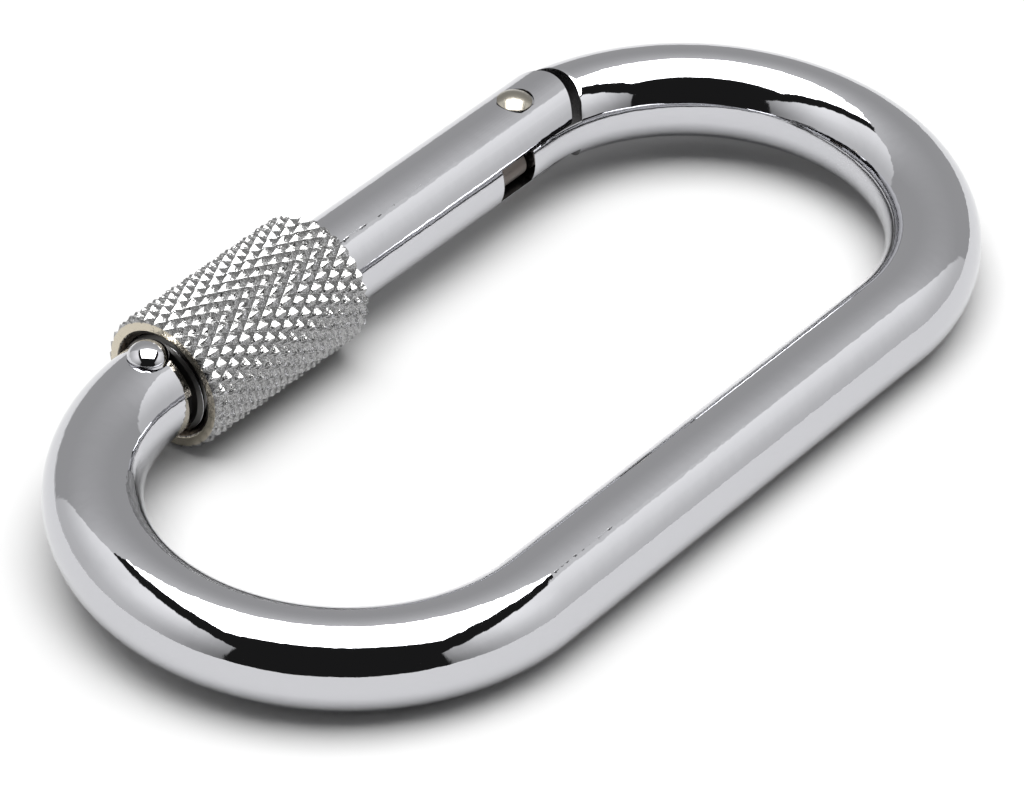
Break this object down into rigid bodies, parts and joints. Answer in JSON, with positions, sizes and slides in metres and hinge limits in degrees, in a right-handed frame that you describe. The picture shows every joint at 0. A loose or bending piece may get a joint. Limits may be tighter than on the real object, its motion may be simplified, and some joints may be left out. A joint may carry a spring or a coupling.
{
  "type": "locking carabiner",
  "caption": "Long O-shaped steel locking carabiner with a sprung gate, a riveted hinge and a knurled screw sleeve.",
  "frame": {"origin": "centre of the whole object's box, in the ring's mid plane", "axes": "+Y along the ring towards the hinge end, -X towards the gate, +Z out of the ring's plane towards the side with the stop stud"},
  "size_m": [0.0612, 0.116, 0.015],
  "materials": {
    "chrome_plate": "mirror",
    "sleeve_plate": "gloss",
    "rivet_nickel": "satin",
    "bare_steel": "satin",
    "spring_steel": "satin"
  },
  "bodies": {
    "ring": {"frame": "chrome_plate", "stop_stud": "chrome_plate"},
    "gate_arm": {"gate": "chrome_plate", "hinge_rivet": "rivet_nickel", "gate_spring": "spring_steel"},
    "sleeve": {"locking_sleeve": "sleeve_plate"},
    "pusher": {"plunger": "bare_steel"}
  },
  "joints": [
    {"name": "gate_hinge", "type": "hinge", "parent": "ring", "child": "gate_arm", "pos_m": [-0.02315, 0.0279, 0], "axis": [0, 0, 1], "range_deg": [0, 30], "stiffness_Nm_per_rad": 0.1, "springref_deg": -34.38},
    {"name": "sleeve_travel", "type": "slide", "parent": "gate_arm", "child": "sleeve", "axis": [0, 1, 0], "range_m": [0, 0.009]},
    {"name": "plunger_slide", "type": "slide", "parent": "gate_arm", "child": "pusher", "axis": [0, -1, 0], "range_m": [0, 0.0019], "deforming": ["gate_spring"]}
  ],
  "couplings": [
    {"joint": "plunger_slide", "follows": "gate_hinge", "m_per_rad": 0.0036}
  ]
}
